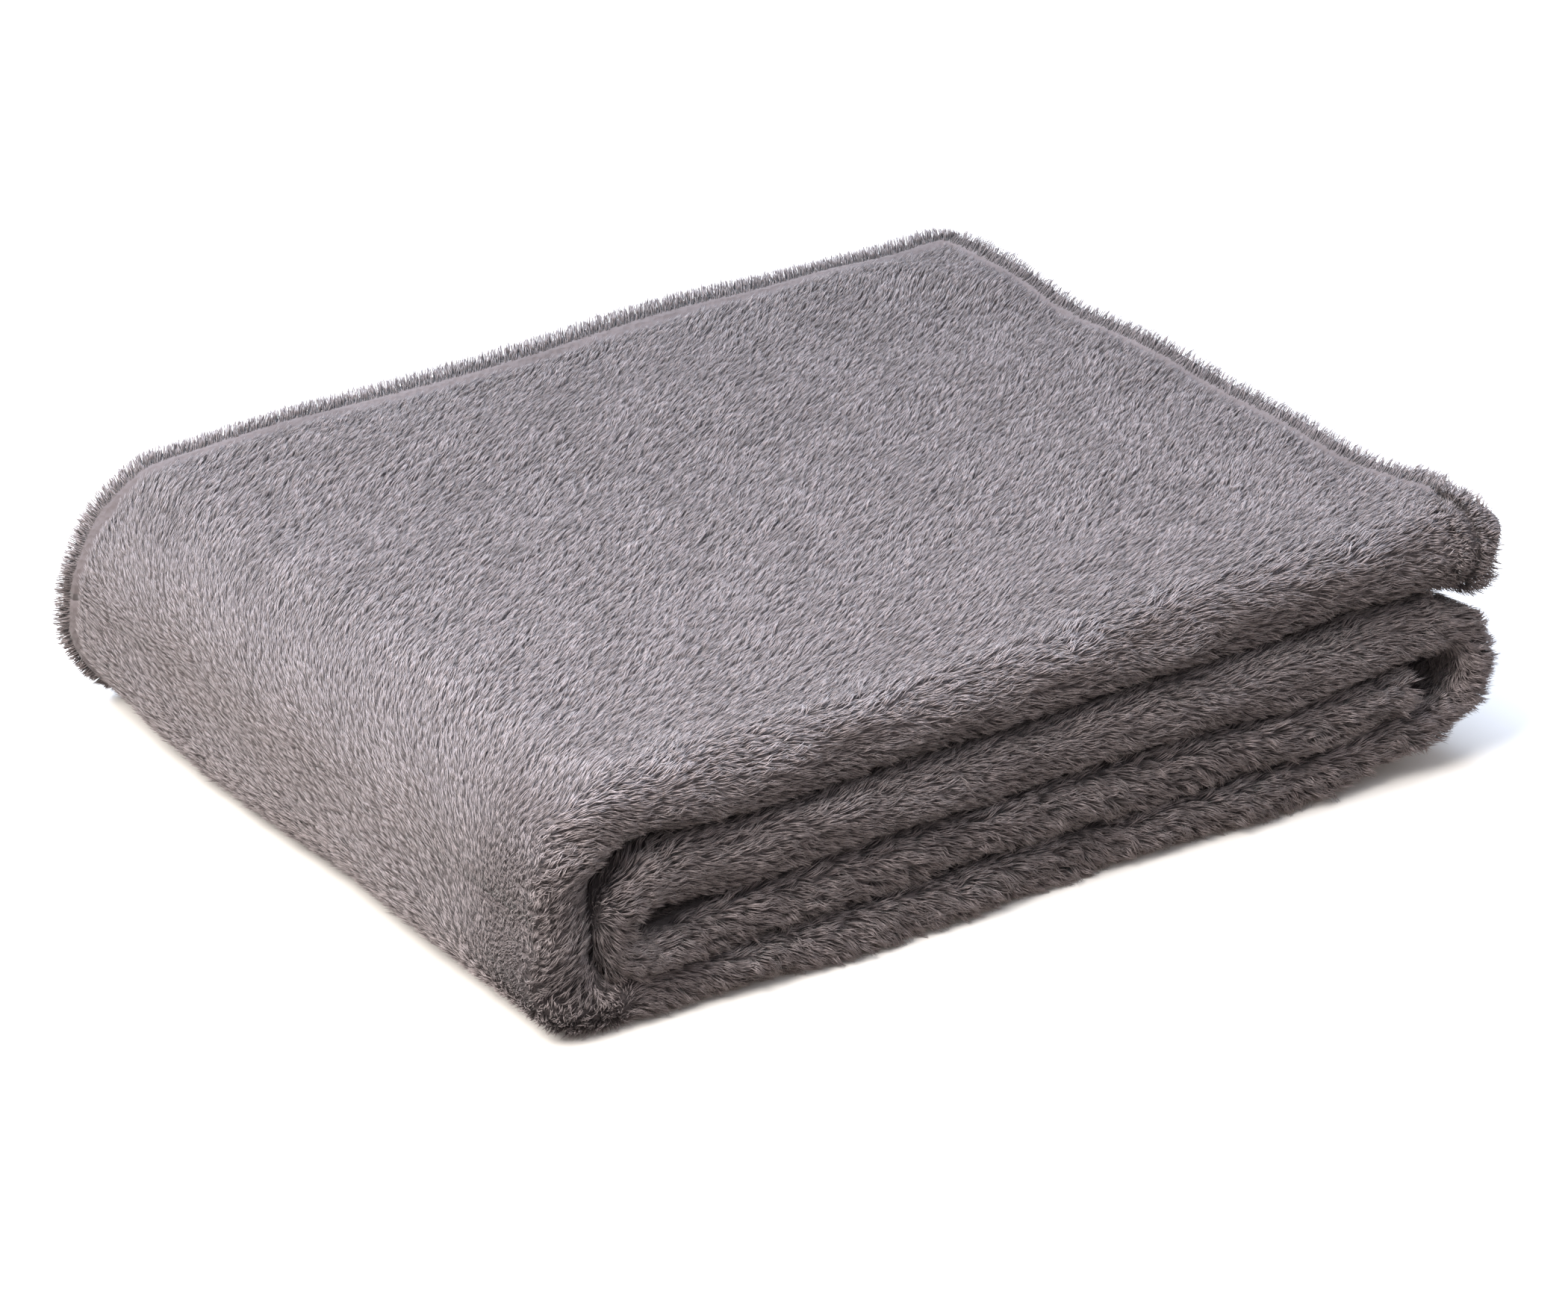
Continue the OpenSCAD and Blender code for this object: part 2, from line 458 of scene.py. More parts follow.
def cloth(name, start, end, step=6 * MM):
    """One closed, plump sheet: the folded throw from start to end, through all its plies. Returns it and its
    flat size."""
    upper, lower = [], []
    rows = lengthwise(start, end, step)
    for at in rows:
        t = thickness(at)
        x, depth, across, out, along = ply_line(t)
        from_hem = np.minimum(along, along[-1] - along)
        from_end = at if start == 0 else S_END - at if end == S_END else 1.0
        edge = np.minimum(from_hem, from_end)
        full = HALF_PLY * ply_thickness(t)
        half = full * np.sqrt(1.02 - (1 - np.clip(edge / full, 0, 1)) ** 2)
        proud = half + hem_profile(edge) * (along < OUTER_PLY * along[-1])
        at_s = np.full(len(x), at)
        upper.append(place(at_s, x + across * proud, depth - out * proud, 0, 1)[0])
        lower.append(place(at_s, x - across * half, depth + out * half, 0, 1)[0])
    count, width = len(rows), len(upper[0])
    verts = settle(np.concatenate(upper + lower))
    top = np.arange(count * width).reshape(count, width)
    under = top + count * width
    quads = [
        (top[:-1, :-1], top[1:, :-1], top[1:, 1:], top[:-1, 1:]),
        (under[:-1, :-1], under[:-1, 1:], under[1:, 1:], under[1:, :-1]),
        (top[:-1, 0], under[:-1, 0], under[1:, 0], top[1:, 0]),
        (top[:-1, -1], top[1:, -1], under[1:, -1], under[:-1, -1]),
        (top[0, :-1], top[0, 1:], under[0, 1:], under[0, :-1]),
        (top[-1, :-1], under[-1, :-1], under[-1, 1:], top[-1, 1:]),
    ]
    corners = np.concatenate([np.stack([side.ravel() for side in quad], 1) for quad in quads])
    flat = (float(ply_line(BEND_T)[-1][-1]), float(end - start))
    return new_mesh(name, verts, corners.ravel(), 4), flat


# ---------------------------------------------------------------- the surfaces that pile grows on

# Each takes arrays of two coordinates in metres and gives points and unit normals.

def outer_face(s, x):
    depth = PILE_H - hem_profile(np.minimum(x - HEM_EDGE, s))
    return place(s, x, depth, 0, 1)


def inner_face(s, x):
    return place(s, x, thickness(s) - PILE_H, 0, -1)


FOLD_ARC = 36 * MM


def fold_face(s, arc):
    """The round double fold: arc runs down over it from the outer face, 0 to FOLD_ARC."""
    return place(s, *fold_curve(pi / 2 - pi * arc / FOLD_ARC, thickness(s), PILE_H - hem_profile(s)))


HEM_ARC = 28 * MM


def hem_face(s, arc):
    """The hemmed side: the round edges of the two hems, then the hairpin fold, 0 to HEM_ARC."""
    ply = ply_thickness(thickness(s))
    k = arc / HEM_ARC * 2
    on_hem = k < 1
    hem = np.floor(k * 2)
    a = np.where(on_hem, (k * 2 - hem - 0.5) * pi, (k - 1.5) * pi)
    radius = np.where(on_hem, ply / 2, ply)
    x = HEM_EDGE + PILE_H + radius - radius * np.cos(a)
    depth = PILE_H + np.where(on_hem, ply * (hem + 0.5), 3 * ply) + radius * np.sin(a)
    return place(s, x, depth, -np.cos(a), -np.sin(a))


END_ARC = 40 * MM


def end_face(s_end, way):
    """One cut end of the strip, the round edges of its plies. way is -1 at the flap's free end and 1 at the
    inner end."""
    def surface(arc, x):
        ply = ply_thickness(thickness(s_end))
        k = arc / END_ARC * PLIES
        n = np.floor(k)
        a = (k - n - 0.5) * pi
        depth = PILE_H + ply * (n + 0.5) + ply / 2 * np.sin(a)
        middle = thickness(s_end) / 2
        on_fold = np.clip((x - FOLD_X) / (FOLD_EDGE - FOLD_X), 0, 1)
        depth = middle + (depth - middle) * np.sqrt(1 - on_fold ** 2)
        s = np.full(len(x), s_end) - way * (PILE_H + ply / 2 - ply / 2 * np.cos(a))
        points, _ = place(s, x, depth, 0, 1)
        angle = path(s)[2]
        onward = np.stack([0 * x, -np.sin(angle), np.cos(angle)], 1) * way
        outward = np.stack([0 * x, np.cos(angle), np.sin(angle)], 1)
        normals = onward * np.cos(a)[:, None] - outward * np.sin(a)[:, None]
        return points, normals
    return surface


# ---------------------------------------------------------------- the nap: which way the pile lies

def unit(v):
    return v / np.maximum(np.linalg.norm(v, axis=1, keepdims=True), 1e-9)


def towards_free_end(s):
    """The nap's direction along the strip: it runs up the wrap side and along the top."""
    _, _, angle = path(s)
    return np.stack([0 * angle, np.sin(angle), -np.cos(angle)], 1)


def nap_outer(s, x, _points):
    """Up the wrap side and along the top. On the wrap side it slants to the hemmed edge, but near the fold it
    turns outward. On the hem's band it stands out over the edge."""
    on_wrap = ease(s, S_FLAP + 10 * MM, S_UPPER + 10 * MM)
    by_fold = ease(x, 70 * MM, 150 * MM)
    by_hem = 1 - ease(x, BAND, BAND + 12 * MM)
    slant = (0.35 + 1.05 * on_wrap * (1 - by_hem)) * (1 - by_fold) - 0.9 * on_wrap * by_fold
    flow = towards_free_end(s) - slant[:, None] * [1, 0, 0]
    band = 1 - ease(x - HEM_EDGE, HEM_W - 1 * MM, HEM_W + 2 * MM)
    return flow * (1 - band)[:, None] + band[:, None] * [-1, 0.5, 0.0]


def nap_inner(s, _x, _points):
    return towards_free_end(s)


def nap_fold(s, arc, points):
    """Along the stack, drooping more in the lower layers. Round the wrap side it runs over the fold."""
    _, _, angle = path(s)
    low = 1 - ease(points[:, 2], 10 * MM, 70 * MM)
    flow = np.stack([0 * low, 1 + 0 * low, -0.05 - 0.5 * low], 1)
    over = pi * arc / FOLD_ARC
    round_fold = np.stack([np.cos(over), -np.sin(over) * np.cos(angle), -np.sin(over) * np.sin(angle)], 1)
    up = ease(s, S_FLAP - 10 * MM, S_UPPER) * (1 - ease(s, S_LOWER - 20 * MM, S_LOWER + 10 * MM))
    return flow * (1 - up)[:, None] + (towards_free_end(s) + 0.9 * round_fold) * up[:, None]


def nap_hem(s, _arc, _points):
    """It hangs down and a little outward."""
    return np.tile([-0.2, 0.3, -0.7], (len(s), 1))


def nap_end(_arc, x, _points):
    """It hangs down, and turns outward at the fold."""
    over_fold = ease(x, FOLD_X - 10 * MM, FOLD_X + 4 * MM)
    return np.stack([0.15 + 0.8 * over_fold, 0.2 + 0.4 * over_fold, -0.9 + 0.5 * over_fold], 1)


# ---------------------------------------------------------------- the pile

def tufts(s, q, size):
    """The tuft that each root belongs to, how far off its middle is along s and q, and how many there are."""
    on_s, on_q = s / size, q / size
    cell_s, cell_q = np.floor(on_s).astype(int), np.floor(on_q).astype(int)
    low_s, low_q = cell_s.min() - 1, cell_q.min() - 1
    shape = (cell_s.max() - low_s + 2, cell_q.max() - low_q + 2)
    middle_s, middle_q = rng.uniform(0, 1, shape), rng.uniform(0, 1, shape)
    best = np.full(len(s), np.inf)
    number, off_s, off_q = np.zeros(len(s), int), np.zeros(len(s)), np.zeros(len(s))
    for step_s in (-1, 0, 1):
        for step_q in (-1, 0, 1):
            i, j = cell_s + step_s - low_s, cell_q + step_q - low_q
            to_s = i + low_s + middle_s[i, j] - on_s
            to_q = j + low_q + middle_q[i, j] - on_q
            nearer = to_s ** 2 + to_q ** 2 < best
            best[nearer] = (to_s ** 2 + to_q ** 2)[nearer]
            number[nearer] = (i * shape[1] + j)[nearer]
            off_s[nearer], off_q[nearer] = to_s[nearer], to_q[nearer]
    return number, off_s * size, off_q * size, shape[0] * shape[1]


def painted_light_and_shade(p):
    """How much lighter or darker the pile's tone is painted for light and shade: painted shade at the wrap
    side's front corner and along the grooves where the seams part it, a painted highlight along the top's
    near edge, painted shade towards the far side."""
    x, y, z = p.T
    # painted shade at the wrap side's front corner
    corner = bump(x, 145 * MM, 48 * MM) * bump(z, 38 * MM, 30 * MM)
    corner *= 1 - ease(y, BEND_Y - 20 * MM, BEND_Y + 10 * MM)
    # a painted highlight on the top's near edge, fading to painted shade at its far side
    top = ease(z, HEIGHT - 20 * MM, HEIGHT - 6 * MM)
    near = 1.3 * x / FOLD_EDGE - 0.7 * y / FLAP_END
    # painted shade along the seams' grooves
    inside_seam = HEM_W + 2 * MM
    seam_painted_shade = bump(x, HEM_EDGE + inside_seam, 3 * MM) + bump(y, FLAP_END - inside_seam, 3 * MM) * top
    return -0.45 * corner + 0.18 * near * top - 0.4 * seam_painted_shade


# How pile looks. In mm: the step between strands, their length and width, and the size of a tuft. In degrees:
# a strand's angle to the cloth at its root (stand) and its tip (lie), and how far tufts stray from the nap.
# As shares: how far tips draw together in a tuft, how light the tone is and how much it varies.
SMOOTH = dict(step=1.0, length=6.2, width=0.4, stand=39, lie=5, tuft=1.8, draw=0.9, stray=8,
              tone=0.5, vary=0.5)
COMBED = dict(step=0.95, length=5.4, width=0.38, stand=33, lie=3, tuft=1.6, draw=0.6, stray=9,
              tone=0.42, vary=0.2)
FOLDED = dict(step=1.05, length=6.8, width=0.47, stand=38, lie=3, tuft=2.3, draw=0.7, stray=13,
              tone=0.5, vary=0.22)
SHAGGY = dict(step=1.1, length=7.8, width=0.52, stand=45, lie=4, tuft=3.3, draw=0.9, stray=18,
              tone=0.48, vary=0.48)
FLUFFY = dict(step=1.05, length=5.5, width=0.47, stand=62, lie=32, tuft=2.2, draw=0.7, stray=14,
              tone=0.42, vary=0.3)
# BRUSHED's darker tone is painted shade for the band's standing pile
BRUSHED = dict(step=0.82, length=4.7, width=0.42, stand=58, lie=32, tuft=1.4, draw=0.35, stray=9,
               tone=0.42, vary=0.26)
EDGE = dict(step=1.1, length=4.6, width=0.45, stand=32, lie=3, tuft=2.2, draw=0.6, stray=8,
            tone=0.45, vary=0.25)
HIDDEN = dict(step=1.8, length=5.5, width=0.85, stand=22, lie=3, tuft=2.4, draw=0.4, stray=9,
              tone=0.5, vary=0.2)
UNDER = dict(step=3.0, length=5.0, width=1.0, stand=12, lie=2, tuft=3.0, draw=0.3, stray=9,
             tone=0.5, vary=0.2)


def sow(start, end, low, high, step):
    """Roots spread evenly but irregularly over a rectangle."""
    n_s, n_q = max(int((end - start) / step), 1), max(int((high - low) / step), 1)
    i, j = np.meshgrid(np.arange(n_s), np.arange(n_q), indexing="ij")
    u = (i.ravel() + rng.uniform(0, 1, n_s * n_q)) / n_s
    v = (j.ravel() + rng.uniform(0, 1, n_s * n_q)) / n_q
    return start + (end - start) * u, low + (high - low) * v


def slopes(surface, s, q, points):
    """How far the surface runs for a metre of each coordinate, as vectors no longer than 1."""
    small = 0.3 * MM
    runs = [(surface(s + small, q)[0] - points) / small, (surface(s, q + small)[0] - points) / small]
    return [run / np.maximum(1, np.linalg.norm(run, axis=1, keepdims=True)) for run in runs]


# A strand is flatter than it is wide, and its root starts inside the cloth
FLATNESS = 0.7
ROOT_IN = 0.5 * MM


def curve(points, reach, rise, lean, drawn, tau):
    """The strands' middle lines at tau, 0 to 1: from the root they rise, then lean over."""
    bend = tau * tau / 2
    return points + reach[:, None] * ((tau - bend) * rise + bend * lean) + drawn * tau ** 1.5


def tapered(points, reach, rise, lean, drawn, side, flow, width):
    """Each strand's seven points: a triangle at the root, a smaller one half way, and the tip."""
    verts = np.zeros((len(points), 7, 3))
    for ring, (tau, swell) in enumerate([(0.0, 1.0), (0.5, 0.85)]):
        middle = curve(points, reach, rise, lean, drawn, tau)
        for corner in range(3):
            a = 2 * pi * corner / 3 + pi / 2
            across = side * cos(a) - np.cross(flow, side) * sin(a) * FLATNESS
            verts[:, 3 * ring + corner] = middle + across * width / 2 * swell
    verts[:, 6] = curve(points, reach, rise, lean, drawn, 1.0)
    return verts


def strands(surface, nap, area, looks):
    """The pile on one rectangle of one surface: tapered three-sided strands that rise at the root and bend
    over along the nap. Returns each strand's seven points and its tone."""
    length, width = looks["length"] * MM, looks["width"] * MM
    s, q = sow(*area, looks["step"] * MM)
    points, normals = surface(s, q)
    count = len(s)
    tuft, off_s, off_q, n_tufts = tufts(s, q, looks["tuft"] * MM)
    run_s, run_q = slopes(surface, s, q, points)

    flow = nap(s, q, points)
    flow = unit(flow - normals * np.sum(flow * normals, axis=1, keepdims=True))
    stray = radians(looks["stray"])
    broad = wave(points, 34 * MM, 11) + 0.7 * wave(points, 13 * MM, 12)
    turn = rng.normal(0, stray, n_tufts)[tuft] + 0.5 * stray * broad + rng.normal(0, 0.5 * stray, count)
    flow = flow * np.cos(turn)[:, None] + np.cross(normals, flow) * np.sin(turn)[:, None]
    side = np.cross(normals, flow)
    lift = rng.normal(0, 0.6 * stray, n_tufts)[tuft] + 0.3 * stray * wave(points, 20 * MM, 13)
    at_root = radians(looks["stand"]) + lift + rng.normal(0, radians(4), count)
    at_tip = radians(looks["lie"]) + lift + rng.normal(0, radians(5), count)
    reach = length * rng.uniform(0.85, 1.12, n_tufts)[tuft] * rng.uniform(0.88, 1.08, count)
    rise = normals * np.sin(at_root)[:, None] + flow * np.cos(at_root)[:, None]
    lean = normals * np.sin(at_tip)[:, None] + flow * np.cos(at_tip)[:, None]
    drawn = looks["draw"] * (off_s[:, None] * run_s + off_q[:, None] * run_q)

    verts = tapered(points, reach, rise, lean, drawn, side, flow, width)
    verts[:, :3] -= normals[:, None] * ROOT_IN
    tone = looks["tone"] + looks["vary"] * rng.uniform(-1, 1, n_tufts)[tuft]
    # painted light and shade for the strand's place join its tone here
    tone = tone + painted_light_and_shade(points) + 0.05 * broad + rng.uniform(-0.2, 0.2, count)
    return verts, np.clip(tone, 0.01, 0.99)


# A strand's nine triangles: two on each of its three lower sides, and three up to its tip
STRAND_FACES = []
for corner in range(3):
    after = (corner + 1) % 3
    STRAND_FACES += [corner, after, 3 + after, corner, 3 + after, 3 + corner, 3 + corner, 3 + after, 6]
STRAND_FACES = np.array(STRAND_FACES)
TRIANGLES_A_STRAND = len(STRAND_FACES) // 3
TRIANGLES_A_PIECE = 190_000
# How far up the strand its seven points are, as the pile's map holds it
ROOT_TO_TIP = np.array([0.02] * 3 + [0.5] * 3 + [0.98])


def pile(name, *patches):
    """Pieces of pile from patches, each a surface, a nap, an area and a look. The map that colours it holds a
    strand's tone and, from root to tip, 0 to 1."""
    grown = [strands(*patch) for patch in patches]
    verts = np.concatenate([v for v, _ in grown])
    tone = np.concatenate([t for _, t in grown])
    pieces = -(-len(verts) // (TRIANGLES_A_PIECE // TRIANGLES_A_STRAND))
    made = []
    for n, share in enumerate(np.array_split(np.arange(len(verts)), pieces)):
        corners = np.arange(len(share))[:, None] * 7 + STRAND_FACES[None, :]
        uv = np.stack([np.repeat(tone[share], 7), np.tile(ROOT_TO_TIP, len(share))], 1)
        made.append(new_mesh(f"{name}_{n + 1}", settle(verts[share].reshape(-1, 3)), corners.ravel(), 3, uv))
    return made


# The band, the flat, and where the flat becomes the fold, across the strip
BAND = HEM_EDGE + HEM_W
EDGE_X = HEM_EDGE + 3 * MM
FOLD_X = FOLD_EDGE - BEND_T / 2 - 1 * MM
ROLL_X = FOLD_EDGE - ROLL_WALL_T / 2 - 1 * MM
# Inside the bends only what the open ends of the pockets show needs pile
POCKET_X = FOLD_X - 30 * MM
ROUND = (0, FOLD_ARC)
HEMS = (0, HEM_ARC)
ENDS = (0, END_ARC, EDGE_X, FOLD_X - 15 * MM)
NOSE = (0, END_ARC, FOLD_X - 15 * MM, FOLD_EDGE - 1.5 * MM)
# The flat's pile starts a little inside the band, so that none of the groove is bare
FLAT_X = BAND - 1.5 * MM
# The pile is combed flatter from here on, over the upper bend and down the wrap side
COMBED_FROM = S_FLAP + 20 * MM

flap_pile = pile(
    "pile_flap",
    (outer_face, nap_outer, (3 * MM, COMBED_FROM, FLAT_X, FOLD_X), SMOOTH),
    (outer_face, nap_outer, (COMBED_FROM, S_MID, FLAT_X, FOLD_X), COMBED),
    (outer_face, nap_outer, (3 * MM, S_MID, EDGE_X, BAND), BRUSHED),
    (fold_face, nap_fold, (1.5 * MM, S_MID, *ROUND), FOLDED),
    (hem_face, nap_hem, (4 * MM, S_MID, *HEMS), EDGE),
    (inner_face, nap_inner, (5 * MM, S_MID, EDGE_X, FOLD_X), HIDDEN),
    (inner_face, nap_inner, (S_FLAP + 10 * MM, S_MID, POCKET_X, FOLD_X), FOLDED),
    (end_face(0.0, -1), nap_end, ENDS, EDGE),
    (end_face(0.0, -1), nap_end, NOSE, FLUFFY),
    (fold_face, nap_fold, (1 * MM, 22 * MM, *ROUND), FLUFFY),
    (outer_face, nap_outer, (1 * MM, 14 * MM, FOLD_X - 30 * MM, FOLD_X), FLUFFY),
)
wrap_pile = pile(
    "pile_wrap",
    (outer_face, nap_outer, (S_MID, S_REST, FLAT_X, FOLD_X), COMBED),
    (outer_face, nap_outer, (S_MID, S_REST, EDGE_X, BAND), BRUSHED),
    (fold_face, nap_fold, (S_MID, S_REST, *ROUND), FOLDED),
    (inner_face, nap_inner, (S_MID, S_REST, EDGE_X, FOLD_X), HIDDEN),
    (inner_face, nap_inner, (S_MID, S_REST, POCKET_X, FOLD_X), FOLDED),
    (hem_face, nap_hem, (S_MID, S_REST, *HEMS), EDGE),
)
stack_pile = pile(
    "pile_stack",
    (outer_face, nap_outer, (S_REST, S_BOTTOM, EDGE_X, FOLD_X), UNDER),
    (outer_face, nap_outer, (S_BOTTOM, S_ROLL, EDGE_X, ROLL_X), SMOOTH),
    (outer_face, nap_inner, (S_ROLL, S_INNER + 20 * MM, EDGE_X, FOLD_X), HIDDEN),
    (inner_face, nap_inner, (S_REST, S_REST + 60 * MM, EDGE_X, FOLD_X), HIDDEN),
    (fold_face, nap_fold, (S_REST, S_ROLL, *ROUND), SHAGGY),
    (fold_face, nap_fold, (S_ROLL, S_SECOND, *ROUND), FOLDED),
    (fold_face, nap_fold, (S_SECOND, S_END, *ROUND), SHAGGY),
    (inner_face, nap_inner, (S_BOTTOM - 20 * MM, S_ROLL + 20 * MM, POCKET_X, ROLL_X), FOLDED),
    (inner_face, nap_inner, (S_SECOND - 30 * MM, S_INNER + 30 * MM, POCKET_X, FOLD_X), FOLDED),
    (hem_face, nap_hem, (S_REST, S_END, *HEMS), EDGE),
    (end_face(S_END, 1), nap_end, ENDS, EDGE),
    (end_face(S_END, 1), nap_end, NOSE, FOLDED),
)

# ---------------------------------------------------------------- materials

def srgb(*levels):
    """An 8-bit sRGB colour as linear values."""
    return [((c / 255 + 0.055) / 1.055) ** 2.4 for c in levels] + [1]


def shader(name):
    material = bpy.data.materials.new(name)
    material.use_nodes = True
    nodes = material.node_tree.nodes
    return material, nodes, material.node_tree.links, nodes["Principled BSDF"]


# The darkest and the palest tufts are this much off the middle tone
TONE_RANGE = 0.35


def pile_material():
    """Plush pile: dark at the roots as painted shade deep in the pile, paler at the tips, each tuft a little
    different, with a soft sheen.
    """
    material, nodes, links, bsdf = shader("plush_pile")
    uv = nodes.new("ShaderNodeUVMap")
    uv.uv_map = "OFBake"
    split = nodes.new("ShaderNodeSeparateXYZ")
    links.new(uv.outputs["UV"], split.inputs["Vector"])
    ramp = nodes.new("ShaderNodeValToRGB")
    # the dark root colour is painted shade deep in the pile
    ramp.color_ramp.elements[0].color = srgb(52, 46, 46)
    ramp.color_ramp.elements[1].color = srgb(186, 175, 175)
    ramp.color_ramp.elements.new(0.5).color = srgb(116, 107, 107)
    links.new(split.outputs["Y"], ramp.inputs["Fac"])
    tone = nodes.new("ShaderNodeMapRange")
    tone.inputs["To Min"].default_value = 1 - TONE_RANGE
    tone.inputs["To Max"].default_value = 1 + TONE_RANGE
    links.new(split.outputs["X"], tone.inputs["Value"])
    scale = nodes.new("ShaderNodeVectorMath")
    scale.operation = "SCALE"
    links.new(ramp.outputs["Color"], scale.inputs[0])
    links.new(tone.outputs["Result"], scale.inputs["Scale"])
    links.new(scale.outputs["Vector"], bsdf.inputs["Base Color"])
    bsdf.inputs["Roughness"].default_value = 0.65
    bsdf.inputs["Specular IOR Level"].default_value = 0.3
    bsdf.inputs["Sheen Weight"].default_value = 0.15
    bsdf.inputs["Sheen Roughness"].default_value = 0.4
    return material


def two_tone(name, texture, size, dark, light, roughness):
    """A material whose colour follows one procedural texture over the object's own coordinates."""
    material, nodes, links, bsdf = shader(name)
    where = nodes.new("ShaderNodeTexCoord")
    pattern = nodes.new(texture)
    pattern.inputs["Scale"].default_value = size
    links.new(where.outputs["Object"], pattern.inputs["Vector"])
    mix = nodes.new("ShaderNodeMix")
    mix.data_type = "RGBA"
    mix.inputs["A"].default_value = dark
    mix.inputs["B"].default_value = light
    links.new(pattern.outputs["Fac"], mix.inputs["Factor"])
    links.new(mix.outputs["Result"], bsdf.inputs["Base Color"])
    bsdf.inputs["Roughness"].default_value = roughness
    return material, nodes, links, bsdf, where


def ground_material():
    """The knitted ground that the pile stands in: cloudy, with a fine bump of loops, and dark as painted
    shade deep under the pile.
    """
    # the ground's dark colours are painted shade under the pile
    material, nodes, links, bsdf, where = two_tone(
        "plush_ground", "ShaderNodeTexNoise", 30, srgb(78, 71, 72), srgb(104, 96, 97), 0.9)
    loops = nodes.new("ShaderNodeTexVoronoi")
    loops.inputs["Scale"].default_value = 420
    links.new(where.outputs["Object"], loops.inputs["Vector"])
    bump_map = nodes.new("ShaderNodeBump")
    bump_map.inputs["Distance"].default_value = 0.6 * MM
    links.new(loops.outputs["Distance"], bump_map.inputs["Height"])
    links.new(bump_map.outputs["Normal"], bsdf.inputs["Normal"])
    bsdf.inputs["Sheen Weight"].default_value = 0.2
    return material


def thread_material():
    """Twisted sewing thread."""
    return two_tone(
        "sewing_thread", "ShaderNodeTexWave", 900, srgb(84, 78, 79), srgb(108, 101, 102), 0.5)[0]


PILE = pile_material()
GROUND = ground_material()
THREAD = thread_material()

# ---------------------------------------------------------------- the stitches

PITCH = 3.6 * MM
THREAD_R = 0.4 * MM
# A stitch reaches this share of the pitch to each side of its middle
STITCH_REACH = 0.44
STITCH_SIDES, STITCH_RINGS = 6, 5


def stitch_faces():
    """The quads of one stitch: its sides from ring to ring, and two quads for each six-sided cap."""
    faces = []
    for ring in range(STITCH_RINGS - 1):
        for n in range(STITCH_SIDES):
            low, high = ring * STITCH_SIDES, (ring + 1) * STITCH_SIDES
            after = (n + 1) % STITCH_SIDES
            faces += [low + n, low + after, high + after, high + n]
    first = list(reversed(range(STITCH_SIDES)))
    last = list(range((STITCH_RINGS - 1) * STITCH_SIDES, STITCH_RINGS * STITCH_SIDES))
    for cap in (first, last):
        faces += cap[:4] + [cap[0], *cap[3:]]
    return np.array(faces)


def stitches(name, s, x, across=False):
    """A row of lockstitches on the outer face: plump capsules that dive into the groove at both ends."""
    rings = []
    for k in np.linspace(-1, 1, STITCH_RINGS):
        shift = k * STITCH_REACH * PITCH
        at_s = s if across else s + shift
        at_x = x + shift if across else x
        sink = PILE_H - hem_profile(HEM_W) + (0.7 * k * k - 0.25) * MM
        middle, outward = place(at_s, at_x, np.full(len(s), sink), 0, 1)
        wide = towards_free_end(at_s) if across else np.tile([1.0, 0, 0], (len(s), 1))
        radius = THREAD_R * (1 - 0.75 * abs(k) ** 3)
        for n in range(STITCH_SIDES):
            a = 2 * pi * n / STITCH_SIDES
            rings.append(middle + (wide * cos(a) + outward * sin(a)) * radius)
    verts = np.stack(rings, 1)
    corners = np.arange(len(s))[:, None] * verts.shape[1] + stitch_faces()[None, :]
    return new_mesh(name, settle(verts.reshape(-1, 3)), corners.ravel(), 4)


def seam(name, start, end):
    s = np.arange(start + HEM_W, end, PITCH)
    return stitches(name, s, np.full(len(s), BAND))


# ---------------------------------------------------------------- the pieces, with the stack's on its body

flap_cloth, flap_flat = cloth("cloth_flap", 0, S_MID)
wrap_cloth, wrap_flat = cloth("cloth_wrap", S_MID, S_REST, 4 * MM)
stack_cloth, stack_flat = cloth("cloth_stack", S_REST, S_END)

end_x = np.arange(BAND, FOLD_X, PITCH)
flap_seam = seam("stitches_flap", 0, S_MID)
end_seam = stitches("stitches_flap_end", np.full(len(end_x), HEM_W), end_x, across=True)
wrap_seam = seam("stitches_wrap", S_MID - HEM_W, S_REST)
stack_seam = seam("stitches_stack", S_REST - HEM_W, S_ROLL)

for pieces, material, slot in (
    ([flap_cloth, wrap_cloth, stack_cloth], GROUND, "plush_pile"),
    (flap_pile + wrap_pile + stack_pile, PILE, "plush_pile"),
    ([flap_seam, end_seam, wrap_seam, stack_seam], THREAD, "sewing_thread"),
):
    for piece in pieces:
        piece.data.materials.append(material)

for piece in [flap_cloth, flap_seam, end_seam] + flap_pile:
    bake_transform(piece)
for piece in [wrap_cloth, wrap_seam] + wrap_pile:
    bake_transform(piece)
for piece in [stack_cloth, stack_seam] + stack_pile:
    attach(piece, "stack")

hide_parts("top_flap", "upper_bend", "top_flap_hem", "upper_bend_hem", "top_flap_end_hem")
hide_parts("wrap_side", "wrap_side_hem", "lower_bend", "lower_bend_hem")
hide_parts("bottom_layer", "roll_bend", "second_layer", "inner_bend", "third_layer",
            "bottom_layer_hem", "roll_bend_hem", "second_layer_hem", "inner_bend_hem", "third_layer_hem",
            "third_layer_end_hem")
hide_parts("top_flap_thread")
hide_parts("top_flap_end_thread")
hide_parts("wrap_side_thread")
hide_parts("bottom_layer_thread")

# ---------------------------------------------------------------- floor, light and camera

def floor():
    """Plain pale paper under the throw."""
    reach = 12.0
    verts = np.array([[-reach, -reach, 0], [reach, -reach, 0], [reach, reach, 0], [-reach, reach, 0]])
    piece = new_mesh("floor", verts, np.arange(4), 4)
    material, _, _, bsdf = shader("floor_paper")
    bsdf.inputs["Base Color"].default_value = (0.77, 0.75, 0.72, 1)
    bsdf.inputs["Roughness"].default_value = 0.9
    bsdf.inputs["Specular IOR Level"].default_value = 0.1
    piece.data.materials.append(material)
    # the world's lower half stands in for the light that the paper would throw back
    piece.visible_diffuse = False


